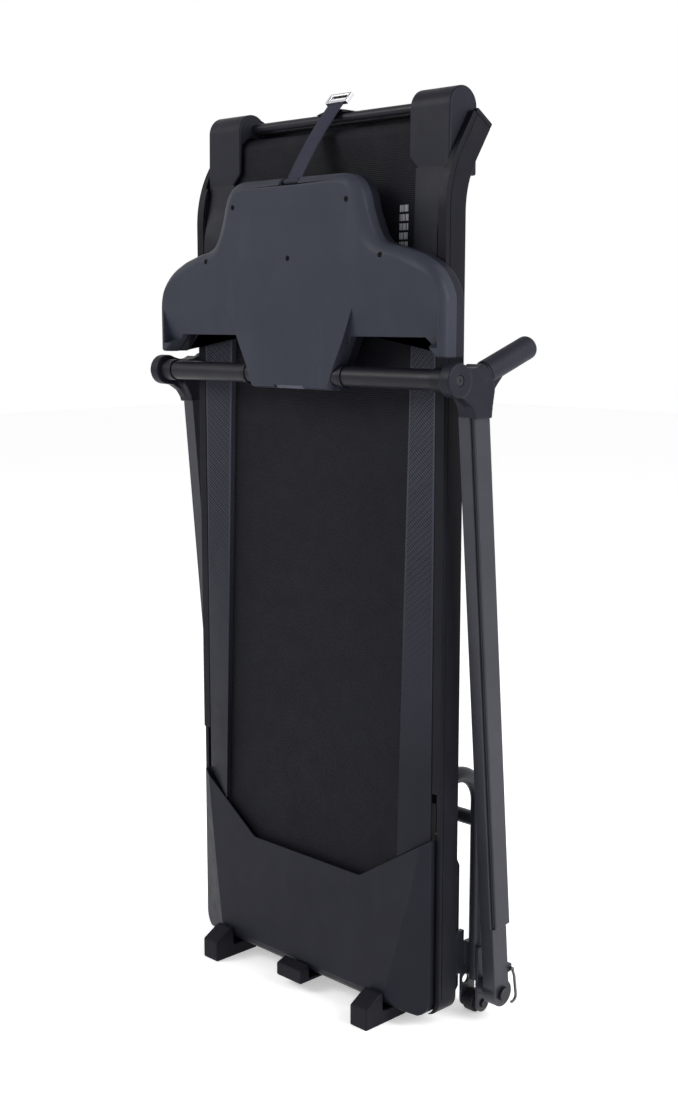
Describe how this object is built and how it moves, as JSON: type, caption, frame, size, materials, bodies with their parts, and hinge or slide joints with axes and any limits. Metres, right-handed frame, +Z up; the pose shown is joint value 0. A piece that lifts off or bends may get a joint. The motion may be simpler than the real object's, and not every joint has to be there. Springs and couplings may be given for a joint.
{
  "type": "folding treadmill",
  "caption": "Folding treadmill stored upright: running deck with belt and rollers, motor bay, transport wheels, and a mast with grips, cross tube and display console held by a strap.",
  "frame": {"origin": "centre of the floor footprint of the folded machine, on the floor", "axes": "+X is the machine's width, -Y is the running side that faces the console, +Z is up, along the folded deck towards its rear end"},
  "size_m": [0.76, 0.25, 1.62],
  "materials": {
    "frame_steel": "satin black powder coat",
    "deck_wood": "sealed fibre board",
    "soft_rubber": "matt",
    "belt_rubber": "fine ribbed running surface",
    "bare_steel": "machined",
    "nylon": "glass filled nylon",
    "electronics": "coated board",
    "black_plastic": "fine texture",
    "moulded_plastic": "fine spark texture",
    "console_plastic": "fine spark texture",
    "wheel_rubber": "solid tread",
    "grip_rubber": "soft touch",
    "lens_plastic": "smoked gloss",
    "button_green": "satin",
    "button_red": "satin",
    "webbing": "woven webbing",
    "clasp_metal": "polished"
  },
  "bodies": {
    "deck": {"deck_frame": "frame_steel", "deck_board": "deck_wood", "deck_cushions": "soft_rubber", "running_belt": "belt_rubber", "roller_bearings": "bare_steel", "roller_axles": "bare_steel", "tension_bolts": "bare_steel", "motor_housing": "frame_steel", "drive_belt": "belt_rubber", "control_board": "electronics", "power_inlet": "black_plastic", "switch_housing": "black_plastic", "motor_cover": "moulded_plastic", "belly_pan": "moulded_plastic", "foot_rail_left": "moulded_plastic", "foot_rail_right": "moulded_plastic", "side_skirt_left": "moulded_plastic", "side_skirt_right": "moulded_plastic", "end_cap_left": "moulded_plastic", "end_cap_right": "moulded_plastic", "rear_foot_pads": "soft_rubber", "rear_cross_bar": "black_plastic", "strap_anchor": "black_plastic", "front_feet": "soft_rubber", "base_frame": "frame_steel", "base_bolts": "bare_steel"},
    "front_roller": {"front_roller": "bare_steel", "roller_pulley": "nylon"},
    "rear_roller": {"rear_roller": "bare_steel"},
    "motor_rotor": {"motor_rotor": "bare_steel", "motor_pulley": "bare_steel"},
    "power_switch": {"power_switch": "black_plastic"},
    "wheel_left": {"wheel_left": "wheel_rubber"},
    "wheel_right": {"wheel_right": "wheel_rubber"},
    "mast": {"pivot_bushes": "nylon", "upright_left": "frame_steel", "upright_right": "frame_steel", "upright_cover_left": "moulded_plastic", "upright_cover_right": "moulded_plastic", "head_left": "moulded_plastic", "head_right": "moulded_plastic", "head_screws": "bare_steel", "grip_left": "grip_rubber", "grip_right": "grip_rubber", "cross_tube": "frame_steel", "tube_collars": "black_plastic"},
    "console": {"console_back": "console_plastic", "console_front": "moulded_plastic", "hinge_clamp": "black_plastic", "console_screws": "bare_steel", "display_lens": "lens_plastic", "console_board": "electronics", "strap_pin": "bare_steel"},
    "start_button": {"start_button": "button_green"},
    "stop_button": {"stop_button": "button_red"},
    "speed_rocker": {"speed_rocker": "black_plastic"},
    "safety_key": {"safety_key": "button_red"},
    "strap": {"strap": "webbing", "strap_clasp": "clasp_metal"},
    "release_hook": {"release_hook": "bare_steel"}
  },
  "joints": [
    {"name": "mast_fold", "type": "hinge", "parent": "deck", "child": "mast", "pos_m": [0, 0.0705, 0.056], "axis": [1, 0, 0], "range_deg": [0, 80]},
    {"name": "console_tilt", "type": "hinge", "parent": "mast", "child": "console", "pos_m": [0, -0.079, 1.133], "axis": [1, 0, 0], "range_deg": [0, 30]},
    {"name": "strap_swing", "type": "hinge", "parent": "console", "child": "strap", "pos_m": [0, -0.083, 1.461], "axis": [1, 0, 0], "range_deg": [0, 60]},
    {"name": "hook_swing", "type": "hinge", "parent": "mast", "child": "release_hook", "pos_m": [0.36, 0.08902, 0.09773], "axis": [1, 0, 0], "range_deg": [0, 25]},
    {"name": "front_roller_spin", "type": "hinge", "parent": "deck", "child": "front_roller", "pos_m": [0, -0.02736, 0.20425], "axis": [1, 0, 0], "continuous": true},
    {"name": "rear_roller_spin", "type": "hinge", "parent": "deck", "child": "rear_roller", "pos_m": [0, 0.0125, 1.53165], "axis": [1, 0, 0], "continuous": true},
    {"name": "motor_spin", "type": "hinge", "parent": "deck", "child": "motor_rotor", "pos_m": [-0.2, 0.012, 0.108], "axis": [1, 0, 0], "continuous": true},
    {"name": "wheel_left_spin", "type": "hinge", "parent": "deck", "child": "wheel_left", "pos_m": [-0.297, 0.075, 0.02], "axis": [1, 0, 0], "continuous": true},
    {"name": "wheel_right_spin", "type": "hinge", "parent": "deck", "child": "wheel_right", "pos_m": [0.297, 0.075, 0.02], "axis": [1, 0, 0], "continuous": true},
    {"name": "power_rock", "type": "hinge", "parent": "deck", "child": "power_switch", "pos_m": [0.12, 0.057, 0.113], "axis": [1, 0, 0], "range_deg": [-8, 8]},
    {"name": "start_press", "type": "slide", "parent": "console", "child": "start_button", "axis": [0, -1, 0], "range_m": [0, 0.0015], "stiffness_N_per_m": 800},
    {"name": "stop_press", "type": "slide", "parent": "console", "child": "stop_button", "axis": [0, -1, 0], "range_m": [0, 0.0015], "stiffness_N_per_m": 800},
    {"name": "speed_rock", "type": "hinge", "parent": "console", "child": "speed_rocker", "pos_m": [0.12, -0.051, 1.268], "axis": [1, 0, 0], "range_deg": [-5, 5], "stiffness_Nm_per_rad": 0.5},
    {"name": "key_pull", "type": "slide", "parent": "console", "child": "safety_key", "axis": [0, 1, 0], "range_m": [0, 0.02]}
  ],
  "couplings": [
    {"joint": "rear_roller_spin", "follows": "front_roller_spin", "ratio": 1},
    {"joint": "motor_spin", "follows": "front_roller_spin", "ratio": 2.4615}
  ]
}
